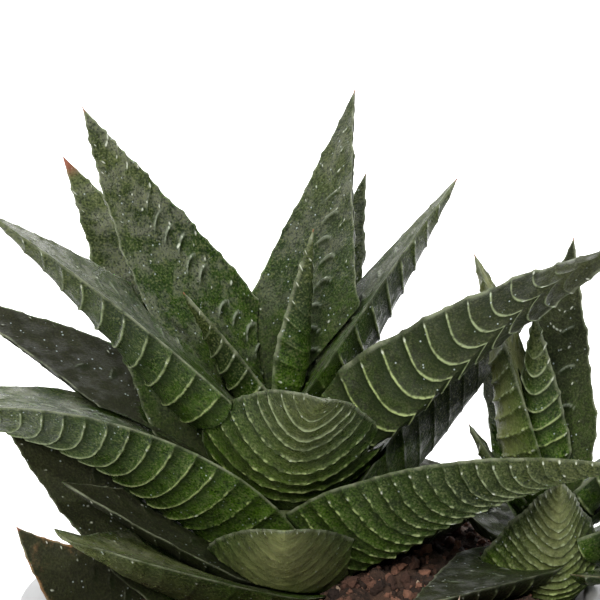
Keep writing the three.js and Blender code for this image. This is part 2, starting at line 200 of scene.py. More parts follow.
def leaf(turn, base, length, width, thick, rise, tip, ridges, **more):
    """One leaf, in millimetres and degrees.

    Turn is its compass angle, base its height on the stem, rise and tip its steepness at
    both ends. Roll turns it about its own length, and twist adds to the roll towards the
    tip, later with more twist_power. Keel shapes the section at the base, and blunt is half
    the width of the tip. Arc and sweep bend the ridges towards the tip, at the margins and
    at the keel. Relief is the strength of the ridges, and below the share bumpy they break
    into bumps. Dry is how brown its tip and margins are, dark how dull the whole leaf is and
    how far painted shade darkens it, deep how far painted shade darkens its base, pale how
    light and olive it is, partly painted light that is strongest along its middle, and red
    the share of the length that the red tip takes. Arch_side is where the arches of the
    inner face sit across it, and beads is how many pearls each ridge gets there.
    """
    extras = dict(roll=0, twist=0, twist_power=1, keel=BASE_ROUND, blunt=TIP_HALF_WIDTH,
                  arc=RIDGE_ARC, sweep=0, relief=1.0, bumpy=0.3, dry=0.0, dark=0.0, deep=0.0,
                  pale=0.0, red=0.02, arch_side=0.0, beads=0)
    extras.update(more)
    return SimpleNamespace(turn=turn, base=base, length=length, width=width, thick=thick,
                           rise=rise, tip=tip, ridges=ridges, **extras)


MAIN_LEAVES = [
    leaf(317, 146, 37, 10.5, 4, 81, 75, 9, roll=12, twist=-15, relief=0.4),
    leaf(201, 138, 38.5, 17, 5, 60, 52, 9, keel=1.6),
    leaf(16, 144, 58.5, 30, 8.5, 54, 50, 10, roll=-8, keel=1.6),
    leaf(63, 138.5, 74.5, 32, 8, 72, 58, 14, twist=-29, arch_side=-0.25, dark=0.2, deep=0.5, beads=1),
    leaf(164, 139, 78, 31.5, 9, 52, 62, 18, roll=-13, twist=-40, arch_side=-0.45, deep=0.4, beads=2),
    leaf(64, 128, 71, 24, 7, 60, 55, 13),
    leaf(344, 136, 88, 20, 14.5, 38, 27, 16, roll=-38, twist=-95, twist_power=2.2, keel=1.5,
         arc=0.02, sweep=7, dark=0.75),
    leaf(278, 129, 63, 36.5, 11, 50, 4.5, 11, roll=-7, twist=-6, relief=1.7, bumpy=0.8, pale=0.14, red=0),
    leaf(202, 136, 81.5, 38, 12, 48, 32, 13, roll=-15, twist=-3, keel=1.6, beads=1),
    leaf(142.5, 126.5, 87, 32, 8, 45, 51, 16, roll=-37, red=0.07, deep=0.9),
    leaf(112, 124, 74, 30, 9, 46, 30, 8, dark=0.3, deep=0.6),
    leaf(185.5, 115, 95.5, 42, 14, 57, -20, 19, roll=13, twist=-22, keel=1.5, arc=0.02, sweep=8),
    leaf(159.5, 124, 87, 31, 9, 38, 17, 13, roll=-12, twist=-10, keel=1.8, relief=0.6, dry=0.2, dark=1.0),
    leaf(24, 118, 75.5, 33, 12, 42.5, 34, 13, twist=-39, keel=1.6, relief=0.35, dark=0.2),
    leaf(332, 113, 84, 34, 13, 41, -2, 22, roll=-15, keel=1.5, arc=0.02, sweep=8, relief=1.2,
         bumpy=0.9, dark=0.25),
    leaf(90, 116, 66, 30, 8, 26, 10, 7, dark=0.5),
    leaf(196, 113, 50, 32, 7, 20, 26, 9, roll=-20, relief=0.4, dark=0.9, red=0),
    leaf(213, 110, 54, 44, 10, 12, 20, 8, roll=-9, keel=1.7, blunt=4, relief=0.3, dry=0.15,
         pale=0.3, red=0),
    leaf(180, 111, 66.5, 42.5, 7, 17, 42, 16, roll=-45, twist=-6, relief=0.6, dark=0.9),
    leaf(270, 108.5, 56, 33, 10, 38, 10, 12, relief=0.15, pale=1.0, red=0),
    leaf(46, 114, 46, 22, 5, 8, 4, 6, relief=0.5, dry=0.8),
    leaf(14, 113, 46, 28, 7, 10, 16, 6, relief=0.6, dark=0.7),
    leaf(150, 112, 64, 30, 8, 22, 8, 6, relief=0.6, dark=0.8),
    leaf(194, 103, 62, 39.5, 6, -12, 53, 14, roll=-61, twist=-24, relief=0.5, dry=0.6, dark=0.95),
]

OFFSET_LEAVES = [
    leaf(250, 130, 36, 12, 4, 80, 80, 9),
    leaf(192, 125.5, 53, 22, 8, 84, 64, 12, roll=-9, twist=-28, keel=1.6, relief=1.3, bumpy=0.9, pale=0.9),
    leaf(62, 126, 53, 22, 6, 76, 73, 12, dark=0.7, beads=3),
    leaf(348, 120, 40, 18, 6, 46, 38, 8),
    leaf(120, 120, 44, 16, 5, 60, 50, 6),
    leaf(278, 106.5, 33.5, 25, 11.5, 65, 43, 15, relief=1.3, bumpy=1.0, pale=0.45),
    leaf(20, 116, 42, 18, 6, 48, 30, 7),
    leaf(169, 123, 23, 12, 4, 42, 56, 5),
    leaf(335, 112, 42, 20, 6, 35, 10, 7),
    leaf(140, 116, 38, 22, 6, 26, 18, 6, relief=0.6, dark=0.9),
    leaf(232, 114, 46, 24, 6, -4, -2, 10, relief=0.8, dark=0.8),
    leaf(318, 112, 30, 16, 3, 0, 4, 6, relief=0.6, dry=0.4),
]


def blend(start, end, share):
    return start + (end - start) * share


def smooth_step(low, high, value):
    """0 at low, 1 at high, and a smooth rise between them. Low may be the larger one."""
    share = np.clip((value - low) / (high - low), 0, 1)
    return share * share * (3 - 2 * share)


def bell(distance, reach):
    """1 at no distance, and falling smoothly to nearly nothing at twice the reach."""
    return np.exp(-(distance / reach) ** 2)


def ripple(random, place, size):
    """A smooth irregular value from about -1 to 1 at each place, with bumps of about that size."""
    total = np.zeros(np.shape(place))
    for _ in range(RIPPLE_WAVES):
        pitch = size * random.uniform(*RIPPLE_PITCHES)
        total += np.sin(WHOLE_TURN * place / pitch + random.uniform(0, WHOLE_TURN))
    return total / math.sqrt(RIPPLE_WAVES)


def round_angles(count):
    return np.linspace(0, WHOLE_TURN, count, endpoint=False)


# Meshes

def new_object(name, points, faces, smooth=True):
    """A mesh object from points in millimetres."""
    mesh = bpy.data.meshes.new(name)
    mesh.from_pydata((np.asarray(points) * MM).tolist(), [], faces)
    mesh.polygons.foreach_set("use_smooth", [smooth] * len(mesh.polygons))
    piece = bpy.data.objects.new(name, mesh)
    bpy.context.scene.collection.objects.link(piece)
    return piece


def add_values(piece, name, values):
    """Keeps a value at each point for the material to read."""
    attribute = piece.data.attributes.new(name, "FLOAT", "POINT")
    attribute.data.foreach_set("value", np.ravel(values).astype(np.float32))


def skin_faces(rows, around):
    """Faces of a closed skin over rings of points: quads between the rings and a flat at both ends."""
    row, point = np.meshgrid(np.arange(rows - 1), np.arange(around), indexing="ij")
    a = (row * around + point).ravel()
    b = (row * around + (point + 1) % around).ravel()
    faces = np.stack([a, b, b + around, a + around], axis=1).tolist()
    faces.append(list(range(around))[::-1])
    last = (rows - 1) * around
    faces.append([last + point for point in range(around)])
    return faces


# Shape of a leaf, as in the part

def leaf_spine(leaf, stem, share):
    """Places along the middle line of a leaf, with the directions across it and up from it."""
    middle = (np.arange(SPINE_STEPS) + 0.5) / SPINE_STEPS
    step = leaf.length / SPINE_STEPS
    turn = leaf.turn * DEGREE
    roll = ((leaf.roll + leaf.twist * share ** leaf.twist_power) * DEGREE)[..., None]

    def heading(at):
        rise = blend(leaf.rise, leaf.tip, at) * DEGREE
        return np.stack([np.cos(rise) * np.cos(turn), np.cos(rise) * np.sin(turn), np.sin(rise)], axis=-1)

    walked = np.cumsum(np.vstack([[stem.x, stem.y, leaf.base], heading(middle) * step]), axis=0)
    nodes = np.linspace(0, 1, SPINE_STEPS + 1)
    place = np.stack([np.interp(share, nodes, walked[:, axis]) for axis in range(3)], axis=-1)
    side = np.array([-math.sin(turn), math.cos(turn), 0])
    above = np.cross(heading(share), side)
    across = side * np.cos(roll) + above * np.sin(roll)
    up = above * np.cos(roll) - side * np.sin(roll)
    return place, across, up


def on_leaf(leaf, stem, share, sideways, height):
    """Points at a distance sideways from the middle line of a leaf, and at a height above it."""
    place, side, up = leaf_spine(leaf, stem, share)
    return place + side * sideways[..., None] + up * height[..., None]


def half_width(leaf, share):
    """Half the width of the smooth leaf at a share of its length."""
    widest = leaf.width / 2
    swell = np.sin(math.pi / 2 * np.minimum(share / WIDEST_SHARE, 1))
    foot = widest * blend(FOOT_WIDTH, 1, swell)
    rest = np.clip((share - WIDEST_SHARE) / (1 - WIDEST_SHARE), 0, 1)
    outline = widest * (1 - rest ** TAPER) * (1 - WAIST * rest)
    return np.where(share < WIDEST_SHARE, foot, np.maximum(outline, leaf.blunt))


def thickness(leaf, share):
    """How far the smooth underside bulges out at the keel, at a share of the leaf's length."""
    swell = np.minimum(share / THICKEST_SHARE, 1)
    fall = (1 - share ** THINNING) * blend(1, TIP_THICKNESS, share)
    return np.maximum(leaf.thick * blend(FOOT_THICKNESS, 1, swell) * fall, TIP_HALF_WIDTH)


def leaf_bulk(leaf, across, share):
    """Share of the thickness that the underside bulges out, from 1 at the keel to 0 at the margins."""
    return 1 - np.abs(across) ** blend(leaf.keel, TIP_KEEL, share)


def ridge_bend(leaf, rows, across):
    """How far a ridge lies towards the tip from its own share of the length, at a place across the leaf."""
    at_margin = leaf.arc * np.abs(across) ** ARC_POWER
    at_keel = leaf.sweep / leaf.length * (1 - np.abs(across)) ** SWEEP_POWER
    return 4 * rows * (1 - rows) * (at_margin + at_keel)


def ridge_slant(leaf, rows, across, span):
    """Length of a slanting ridge for each step across the leaf."""
    at_margin = leaf.arc * ARC_POWER * np.abs(across) ** (ARC_POWER - 1)
    at_keel = leaf.sweep / leaf.length * SWEEP_POWER * (1 - np.abs(across)) ** (SWEEP_POWER - 1)
    slope = 4 * rows * (1 - rows) * (at_margin - at_keel) * leaf.length / np.maximum(span, 1)
    return np.minimum(np.sqrt(1 + slope ** 2), MOST_SLANT)


# Grid of points on a leaf

def ridge_shares(leaf):
    return np.linspace(FIRST_RIDGE, LAST_RIDGE, leaf.ridges)


def row_shares(leaf, ridges):
    """Shares of the length that get a row of points: close together on each ridge and wider between."""
    rows = [0.0, 1.0]
    for ridge in ridges:
        rows += [ridge + offset / leaf.length for offset in RIDGE_ROWS]
    rows += list(np.linspace(LAST_RIDGE, 1, TIP_ROWS))
    stops = [0.0] + list(ridges)
    for start, end in zip(stops[:-1], stops[1:]):
        start_row = start + RIDGE_ROWS[-1] / leaf.length
        end_row = end + RIDGE_ROWS[0] / leaf.length
        count = max(int((end_row - start_row) * leaf.length / ROW_SPACING), 1)
        rows += list(np.linspace(start_row, end_row, count + 1))
    rows = np.unique(np.round(np.clip(rows, 0, 1), SHARE_DIGITS))
    keep = np.append(True, np.diff(rows) * leaf.length > CLOSEST_ROWS)
    return rows[keep]


def across_shares(leaf):
    """Shares of the half width on the underside, then back on the inner face. They crowd at the edges."""
    count = int(np.clip(leaf.width * ACROSS_PER_MM, FEWEST_ACROSS, MOST_ACROSS)) // 2 * 2
    inner_count = 2 * count if leaf.arch_side or leaf.beads else count
    under = np.sin(math.pi / 2 * np.linspace(-1, 1, count + MORE_UNDER))
    inner = np.sin(math.pi / 2 * np.linspace(1, -1, inner_count + MORE_INNER))[1:-1]
    return under, inner


def skin_grid(leaf, rows, under, inner):
    """Where the points of a leaf's skin lie on it. Each row is one ring, bent as the ridges are."""
    across = np.concatenate([under, inner])[None, :]
    is_inner = (np.arange(across.shape[1]) >= len(under))[None, :]
    rows = rows[:, None]
    share = np.minimum(rows + ridge_bend(leaf, rows, across), 1)
    return SimpleNamespace(rows=rows, across=across, is_inner=is_inner, share=share,
                           span=half_width(leaf, share), bulk=leaf_bulk(leaf, across, share))


def fine_grid(leaf):
    """The fine leaf's grid, with each row's nearest ridge and its distance from that ridge."""
    ridges = ridge_shares(leaf)
    grid = skin_grid(leaf, row_shares(leaf, ridges), *across_shares(leaf))
    distance = (grid.rows - ridges[None, :]) * leaf.length
    grid.ridges = ridges
    grid.nearest = np.argmin(np.abs(distance), axis=1)
    grid.off_ridge = np.take_along_axis(distance, grid.nearest[:, None], axis=1)
    grid.low_down = smooth_step(leaf.bumpy, 0.5 * leaf.bumpy, grid.share)
    return grid


def by_row(grid, ridge_values):
    """Gives each row the value of the ridge that it is nearest to."""
    return ridge_values[grid.nearest][:, None]


# Relief of a leaf

def under_ridges(leaf, grid, random):
    """Ridges of the underside. They fade to the tip and the edges, and break into bumps low down."""
    phase = by_row(grid, random.uniform(0, WHOLE_TURN, leaf.ridges))
    sideways = grid.across * grid.span
    waver = RIDGE_WAVER * (STEADY_WAVER + grid.low_down) * np.sin(sideways * WAVER_WAVE + 2 * phase)
    slant = ridge_slant(leaf, grid.rows, grid.across, grid.span)
    line = bell(grid.off_ridge + waver, RIDGE_HALF_WIDTH * slant)
    short = np.sin(sideways * SHORT_WAVE + phase * 3)
    long = np.sin(sideways * LONG_WAVE + phase)
    uneven = EVEN_PART + UNEVEN_PART * short * long
    bumps = 0.5 + 0.5 * np.cos(sideways * BUMP_WAVE + phase)
    strength = uneven * blend(1, BUMP_FOOT + BUMP_RISE * bumps, grid.low_down)
    fade_side = smooth_step(*RIDGE_SIDE_FADE, np.abs(grid.across))
    fade_tip = smooth_step(*RIDGE_TIP_FADE, grid.share)
    return line * leaf.relief * strength * fade_side * blend(RIDGE_AT_TIP, 1, fade_tip)


def inner_arches(leaf, grid, random):
    """Short arches of the inner face, of which some are missing, and the painted shade under each."""
    present = by_row(grid, random.uniform(0, 1, leaf.ridges) < ARCH_CHANCE)
    scatter = ARCH_SCATTER if leaf.arch_side else LOOSE_SCATTER
    centre = leaf.arch_side + by_row(grid, random.uniform(-scatter, scatter, leaf.ridges))
    reach = by_row(grid, random.uniform(*ARCH_REACH, leaf.ridges))
    aside = (grid.across - centre) * grid.span
    off_arch = grid.off_ridge + aside ** 2 / ARCH_ROUND
    fade_tip = smooth_step(*ARCH_TIP_FADE, grid.share)
    arch = bell(off_arch, ARCH_HALF_WIDTH) * np.exp(-(aside / reach) ** 4)
    # Painted shade under each arch: a dark crescent below it.
    arch_shade = bell(off_arch + ARCH_SHADE_BELOW, ARCH_SHADE_HALF_WIDTH)
    arch_shade = arch_shade * np.exp(-(ARCH_SHADE_NARROWING * aside / reach) ** 4)
    height = ARCH_HEIGHT if leaf.arch_side else 1.0
    return height * present * arch * fade_tip * max(leaf.relief, LEAST_RELIEF), present * arch_shade * fade_tip


def ridge_shade(leaf, grid):
    """Painted shade: the dark band below each ridge of the underside."""
    above_ridge = ((grid.rows - grid.ridges[0]) / (grid.ridges[1] - grid.ridges[0])) % 1
    fade_tip = smooth_step(*SHADE_TIP_FADE, grid.share)
    fade_low = 1 - SHADE_LOST_LOW_DOWN * grid.low_down
    return smooth_step(*SHADE_RISE, above_ridge) * fade_tip * min(leaf.relief, 1) * fade_low


def pearl_places(leaf, ridges, random):
    """Where a leaf's pearls are: ridge, share of the half width, on the inner face or not, and radius."""
    places = []

    def place(ridge, kind, side=1, middle=0):
        across = middle + side * random.uniform(*kind.across)
        places.append((ridge, across, kind.inside, random.uniform(*kind.radius)))

    for ridge in ridges[:-1]:
        for side in (-1, 1):
            for kind in (EDGE_PEARL, INNER_PEARL):
                if random.uniform() < kind.chance:
                    place(ridge, kind, side)
        if random.uniform() < KEEL_PEARL.chance:
            place(ridge, KEEL_PEARL)
        for _ in range(leaf.beads):
            place(ridge, ARCH_PEARL, middle=leaf.arch_side)
    return places


def pearls(leaf, grid, random):
    """Small round bumps on the ridges, most of them near the edges."""
    height = np.zeros(grid.share.shape)
    for row_at, side_at, inside, radius in pearl_places(leaf, grid.ridges, random):
        along = (grid.rows - row_at) * leaf.length
        aside = (grid.across - side_at) * grid.span
        bump = np.exp(-(along ** 2 + aside ** 2) / radius ** 2)
        height = np.maximum(height, np.where(grid.is_inner == inside, bump, 0))
    return height


def edge_width(leaf, grid, random):
    """Half the leaf's width with a tooth at each ridge's ends and a slow wobble, and the wobble alone."""
    from_tip = 1 - grid.rows
    size = by_row(grid, random.uniform(*TOOTH_SIZES, leaf.ridges))
    tooth = bell(grid.off_ridge, TOOTH_HALF_WIDTH) * size * smooth_step(*TOOTH_TIP_FADE, from_tip)
    wobble = ripple(random, grid.rows * leaf.length, WOBBLE_SIZE)
    wobble = WOBBLE_HEIGHT * wobble * smooth_step(*WOBBLE_TIP_FADE, from_tip)
    half = grid.span + tooth * TOOTH_LENGTH + wobble * smooth_step(*WOBBLE_WIDTHS, grid.span)
    return half, wobble


def skin_height(leaf, grid, half, relief, wobble):
    """Height of the fine skin above the leaf's middle line, on its underside and on its inner face."""
    arc = np.sqrt(np.clip(1 - grid.across ** 2, 0, 1))
    edge_round = arc * np.minimum(EDGE_HALF_THICKNESS, 0.5 * grid.span)
    spacing = (grid.ridges[1] - grid.ridges[0]) * leaf.length
    swell = np.clip(1 - 2 * np.abs(grid.off_ridge) / spacing, 0, 1) ** 2
    swelling = grid.bulk * swell * SWELL_HEIGHT * leaf.relief
    keel = KEEL_WOBBLE * wobble * grid.bulk
    lower = -(grid.bulk * thickness(leaf, grid.share) + edge_round + relief + swelling + keel)
    upper = edge_round + relief
    return CHANNEL * half * grid.across ** 2 + np.where(grid.is_inner, upper, lower)


def red_tip(leaf, share):
    if not leaf.red:
        return np.zeros(share.shape)
    return smooth_step(1 - leaf.red, 1 - RED_RISE * leaf.red, share)


def dry_parts(share, across):
    """Where a dry leaf is brown: towards its tip, first at the margins, and along them."""
    aside = np.abs(across)
    towards_tip = DRY_TIP * smooth_step(*DRY_TIP_RISE, share + DRY_MARGIN_LEAD * aside ** 3)
    return np.maximum(towards_tip, smooth_step(*DRY_MARGIN_RISE, aside))


def leaf_tones(leaf, grid):
    """Values from 0 to 1 that the material reads, apart from the relief's own."""
    share = grid.share
    aside = np.abs(grid.across)
    return {
        "edge": smooth_step(*EDGE_FADE, (1 - aside) * grid.span),
        "tip": red_tip(leaf, share),
        "young": smooth_step(*YOUNG_FADE, share),
        "outer": smooth_step(*OUTER_RISE, share),
        "inner": grid.is_inner.astype(float),
        "bumpy": grid.low_down,
        # Dark is painted shade over the whole leaf, and deep adds painted shade at its base.
        "dark": leaf.dark + leaf.deep * smooth_step(*DEEP_FADE, share),
        # Pale is a paler olive tone, partly painted light, strongest along the leaf's middle.
        "pale": leaf.pale * (1 - aside ** PALE_POWER) * smooth_step(*PALE_RISE, share),
        "dry": leaf.dry * dry_parts(share, grid.across),
    }


def fine_leaf(name, leaf, stem, random):
    """The fine leaf, with the values that its material reads."""
    grid = fine_grid(leaf)
    under = under_ridges(leaf, grid, random)
    arches, arch_shades = inner_arches(leaf, grid, random)
    ridge = np.where(grid.is_inner, arches, under)
    pearl_and_glint = pearls(leaf, grid, random)
    half, wobble = edge_width(leaf, grid, random)
    relief = ridge * RIDGE_HEIGHT + pearl_and_glint * PEARL_HEIGHT
    height = skin_height(leaf, grid, half, relief, wobble)
    points = on_leaf(leaf, stem, grid.share, half * grid.across, height)

    tones = leaf_tones(leaf, grid)
    tones["ridge"] = np.clip(ridge, 0, 1)
    tones["pearl_and_glint"] = pearl_and_glint
    # Painted shade: under the arches of the inner face and below the ridges of the underside.
    tones["shade"] = np.where(grid.is_inner, arch_shades, ridge_shade(leaf, grid))
    rows, around = points.shape[:2]
    piece = new_object(name, points.reshape(-1, 3), skin_faces(rows, around))
    for key, values in tones.items():
        add_values(piece, key, np.broadcast_to(values, (rows, around)))
    return piece


# Rooms that pieces are cut with

def leaf_room(name, leaf, stem):
    """A smooth, slightly larger twin of a leaf, to cut its neighbours with."""
    under = np.sin(math.pi / 2 * np.linspace(-1, 1, ROOM_UNDER))
    grid = skin_grid(leaf, np.linspace(0, 1, ROOM_ROWS), under, np.array(ROOM_INNER))
    half = grid.span + TOOTH_LENGTH + WOBBLE_HEIGHT + GAP
    lower = -grid.bulk * (thickness(leaf, grid.share) + ROOM_CREST) - EDGE_HALF_THICKNESS - GAP
    upper = grid.bulk * ROOM_CREST + EDGE_HALF_THICKNESS + GAP
    height = CHANNEL * half * grid.across ** 2 + np.where(grid.is_inner, upper, lower)
    points = on_leaf(leaf, stem, grid.share, half * grid.across, height)
    return new_object(name, points.reshape(-1, 3), skin_faces(*points.shape[:2]))


def stem_room(name, stem):
    """A slightly larger twin of a stem."""
    angle = round_angles(STEM_SIDES)
    ends = ((stem.foot_radius + GAP, stem.foot - GAP), (stem.top_radius + GAP, stem.top + GAP))
    rings = []
    for radius, height in ends:
        x = stem.x + radius * np.cos(angle)
        y = stem.y + radius * np.sin(angle)
        rings.append(np.stack([x, y, np.full(STEM_SIDES, height)], axis=1))
    return new_object(name, np.vstack(rings), skin_faces(len(ends), STEM_SIDES))


# Cutting

def box_of(piece):
    corners = np.empty(len(piece.data.vertices) * 3, np.float32)
    piece.data.vertices.foreach_get("co", corners)
    corners = corners.reshape(-1, 3)
    return corners.min(0), corners.max(0)


def boxes_meet(one, other):
    return bool((one[0] <= other[1]).all() and (other[0] <= one[1]).all())


def cut(piece, rooms):
    """Takes the rooms away from a piece, and keeps its largest body."""
    box = box_of(piece)
    tools = bpy.data.collections.new("tools")
    for room in rooms:
        if boxes_meet(box, box_of(room)):
            tools.objects.link(room)
    if tools.objects:
        boolean = piece.modifiers.new("cut", "BOOLEAN")
        boolean.operation = "DIFFERENCE"
        boolean.solver = "MANIFOLD"
        boolean.operand_type = "COLLECTION"
        boolean.collection = tools
        shown = piece.evaluated_get(bpy.context.evaluated_depsgraph_get())
        mesh = bpy.data.meshes.new_from_object(shown)
        piece.modifiers.clear()
        piece.data = mesh
    bpy.data.collections.remove(tools)
    keep_largest(piece)


def body_labels(mesh):
    """A number for each point, the same all over one connected body."""
    ends = np.empty(len(mesh.edges) * 2, np.int32)
    mesh.edges.foreach_get("vertices", ends)
    ends = ends.reshape(-1, 2)
    label = np.arange(len(mesh.vertices))
    while True:
        low = np.minimum(label[ends[:, 0]], label[ends[:, 1]])
        before = label.copy()
        np.minimum.at(label, ends[:, 0], low)
        np.minimum.at(label, ends[:, 1], low)
        label = label[label]
        if (label == before).all():
            return label


def keep_largest(piece):
    """Removes all but the largest connected body of a mesh."""
    label = body_labels(piece.data)
    names, counts = np.unique(label, return_counts=True)
    if len(names) == 1:
        return
    work = bmesh.new()
    work.from_mesh(piece.data)
    work.verts.ensure_lookup_table()
    doomed = [work.verts[i] for i in np.flatnonzero(label != names[counts.argmax()])]
    bmesh.ops.delete(work, geom=doomed, context="VERTS")
    work.to_mesh(piece.data)
    work.free()


# Materials

class Shader:
    """A material whose nodes are added one by one."""

    def __init__(self, name):
        self.material = bpy.data.materials.new(name)
        self.material.use_nodes = True
        self.tree = self.material.node_tree
        self.tree.nodes.clear()
        output = self.tree.nodes.new("ShaderNodeOutputMaterial")
        self.surface = self.tree.nodes.new("ShaderNodeBsdfPrincipled")
        self.tree.links.new(self.surface.outputs["BSDF"], output.inputs["Surface"])
        self.place = self.tree.nodes.new("ShaderNodeTexCoord").outputs["Object"]

    def put(self, socket, value):
        """Links a node's output to a socket, or sets the socket's own value."""
        if isinstance(value, bpy.types.NodeSocket):
            self.tree.links.new(value, socket)
        elif socket.type == "RGBA":
            socket.default_value = (*value, 1)
        else:
            socket.default_value = value

    def fill(self, node, **inputs):
        """Fills a node's sockets by name, with underscores for spaces."""
        for name, value in inputs.items():
            self.put(node.inputs[name.replace("_", " ")], value)

    def add(self, kind, output, **inputs):
        node = self.tree.nodes.new(kind)
        self.fill(node, **inputs)
        return node.outputs[output]

    def set(self, **inputs):
        self.fill(self.surface, **inputs)

    def value(self, name):
        """A value kept at the mesh's points."""
        node = self.tree.nodes.new("ShaderNodeAttribute")
        node.attribute_name = name
        return node.outputs["Fac"]

    def noise(self, scale, detail=3.0, roughness=0.55):
        return self.add("ShaderNodeTexNoise", "Fac", Vector=self.place, Scale=scale, Detail=detail,
                        Roughness=roughness)

    def cells(self, scale):
        """Distance from the middle of the nearest cell."""
        return self.add("ShaderNodeTexVoronoi", "Distance", Vector=self.place, Scale=scale)

    def mix(self, factor, low, high):
        return self.add("ShaderNodeMixRGB", "Color", Fac=factor, Color1=low, Color2=high)

    def math(self, operation, first, second, clamp=True):
        node = self.tree.nodes.new("ShaderNodeMath")
        node.operation = operation
        node.use_clamp = clamp
        self.put(node.inputs[0], first)
        self.put(node.inputs[1], second)
        return node.outputs[0]

    def plus(self, first, second):
        return self.math("ADD", first, second)

    def minus(self, first, second):
        return self.math("SUBTRACT", first, second)

    def times(self, first, second):
        return self.math("MULTIPLY", first, second, clamp=False)

    def ramp(self, value, low, high, start=0.0, end=1.0):
        """A smooth change from start to end as the value goes from low to high."""
        node = self.tree.nodes.new("ShaderNodeMapRange")
        node.interpolation_type = "SMOOTHSTEP"
        self.fill(node, Value=value, From_Min=low, From_Max=high, To_Min=start, To_Max=end)
        return node.outputs["Result"]

    def bump(self, height, distance, strength=1.0, **normal):
        return self.add("ShaderNodeBump", "Normal", Height=height, Distance=distance,
                        Strength=strength, **normal)


# Colours of the leaves
TINT = SimpleNamespace(
    deep_green=(0.008, 0.022, 0.004),
    mid_green=(0.024, 0.049, 0.008),
    olive=(0.074, 0.086, 0.026),
    young_green=(0.056, 0.120, 0.006),
    # Grey bloom, partly a painted sheen
    bloom_and_sheen=(0.165, 0.17, 0.13),
    light_grain=(0.12, 0.135, 0.055),
    dark_grain=(0.006, 0.010, 0.003),
    dark_mottle=(0.010, 0.018, 0.006),
    # Colours of painted shade, for dark leaves and shaded bases
    shade_dark=(0.007, 0.007, 0.004),
    shade_brown=(0.025, 0.023, 0.013),
    # A paler olive, partly painted light along the middle of pale leaves
    pale=(0.28, 0.30, 0.12),
    # Colour of the painted shade below the ridges and under the arches
    shade=(0.010, 0.017, 0.004),
    line=(0.23, 0.27, 0.15),
    young_line=(0.37, 0.45, 0.17),
    inner_line=(0.16, 0.185, 0.13),
    rim=(0.22, 0.24, 0.16),
    # Pale pearls with a painted glint
    pearl_and_glint=(0.62, 0.66, 0.55),
    # Colour of the painted glints on the fine specks
    dot=(0.52, 0.60, 0.60),
    red=(0.27, 0.075, 0.05),
    dry_brown=(0.09, 0.042, 0.018),
    straw=(0.38, 0.20, 0.095),
)


def leaf_green(s, mottle, grain, inner):
    """The leaf's flesh: green patches, olive to the tip, brighter low down, with a dull grey bloom that is
    partly painted sheen, grain and mottle, painted shade where the leaf is dark, and paler olive where it is
    pale.
    """
    patches = s.noise(scale=60.0, detail=2.0)
    dark = s.value("dark")
    green = s.mix(s.ramp(patches, 0.35, 0.65), TINT.deep_green, TINT.mid_green)
    olive = s.times(s.value("outer"), s.ramp(patches, 0.3, 0.7, 0.5, 1.0))
    green = s.mix(s.times(olive, 0.75), green, TINT.olive)
    young = s.times(s.value("young"), s.ramp(mottle, 0.3, 0.7, 0.4, 1.0))
    green = s.mix(young, green, TINT.young_green)
    # Bloom, partly painted sheen: grey haze in patches, strongest on the inner face, weakest on leaves with
    # painted shade.
    haze = s.ramp(s.noise(scale=190.0, detail=4.0, roughness=0.65), 0.44, 0.62)
    bloom_and_sheen = s.times(haze, s.plus(s.times(inner, 0.5), 0.08))
    bloom_and_sheen = s.times(bloom_and_sheen, s.ramp(dark, 0.0, 0.8, 1.0, 0.15))
    green = s.mix(bloom_and_sheen, green, TINT.bloom_and_sheen)
    green = s.mix(s.ramp(grain, 0.51, 0.66, 0.0, 0.7), green, TINT.light_grain)
    green = s.mix(s.ramp(grain, 0.49, 0.34, 0.0, 0.8), green, TINT.dark_grain)
    green = s.mix(s.ramp(mottle, 0.5, 0.34, 0.0, 0.55), green, TINT.dark_mottle)
    # Painted shade: dark leaves and shaded bases turn near black and brown.
    green = s.mix(s.times(dark, 0.85), green, s.mix(patches, TINT.shade_dark, TINT.shade_brown))
    # Paler olive where the leaf is pale, with painted light strongest along its middle.
    pale = s.times(s.value("pale"), s.ramp(mottle, 0.3, 0.7, 0.5, 1.0))
    return s.mix(pale, green, TINT.pale)


def leaf_lines(s, green, inner):
    """Pale ridges over the green, beaded where they break up, with a band of painted shade below each."""
    beads = s.ramp(s.cells(scale=850.0), 0.65, 0.25, 0.3, 1.0)
    uneven = s.ramp(s.noise(scale=900.0), 0.3, 0.55, 0.6, 1.0)
    ridge = s.times(s.value("ridge"), s.mix(s.value("bumpy"), uneven, beads))
    # Painted shade below each ridge of the underside and under each arch of the inner face.
    green = s.mix(s.times(s.value("shade"), 0.85), green, TINT.shade)
    line = s.mix(s.value("young"), TINT.line, TINT.young_line)
    line = s.mix(inner, line, TINT.inner_line)
    return s.mix(s.ramp(ridge, 0.15, 0.9), green, line)


def leaf_marks(s, skin, specks_and_glints, mottle, grain):
    """Pale rim, pale pearls with painted glints, fine specks with painted glints, a reddish tip, and straw
    brown where the leaf is dry.
    """
    rim = s.times(s.value("edge"), s.ramp(s.noise(scale=260.0), 0.4, 0.6, 0.2, 0.75))
    skin = s.mix(rim, skin, TINT.rim)
    # Pale pearls, each with a painted glint.
    skin = s.mix(s.ramp(s.value("pearl_and_glint"), 0.4, 1.0, 0.0, 0.8), skin, TINT.pearl_and_glint)
    # Painted glints on the fine specks.
    skin = s.mix(s.times(specks_and_glints, s.ramp(s.value("dark"), 0.0, 1.0, 0.55, 0.6)), skin, TINT.dot)
    skin = s.mix(s.times(s.value("tip"), 0.85), skin, TINT.red)
    dryness = s.value("dry")
    dry = s.ramp(s.plus(s.times(dryness, 0.8), s.times(mottle, 0.5)), 0.5, 0.8)
    straw = s.mix(grain, TINT.dry_brown, TINT.straw)
    return s.mix(s.times(dry, s.ramp(dryness, 0.02, 0.3)), skin, straw)


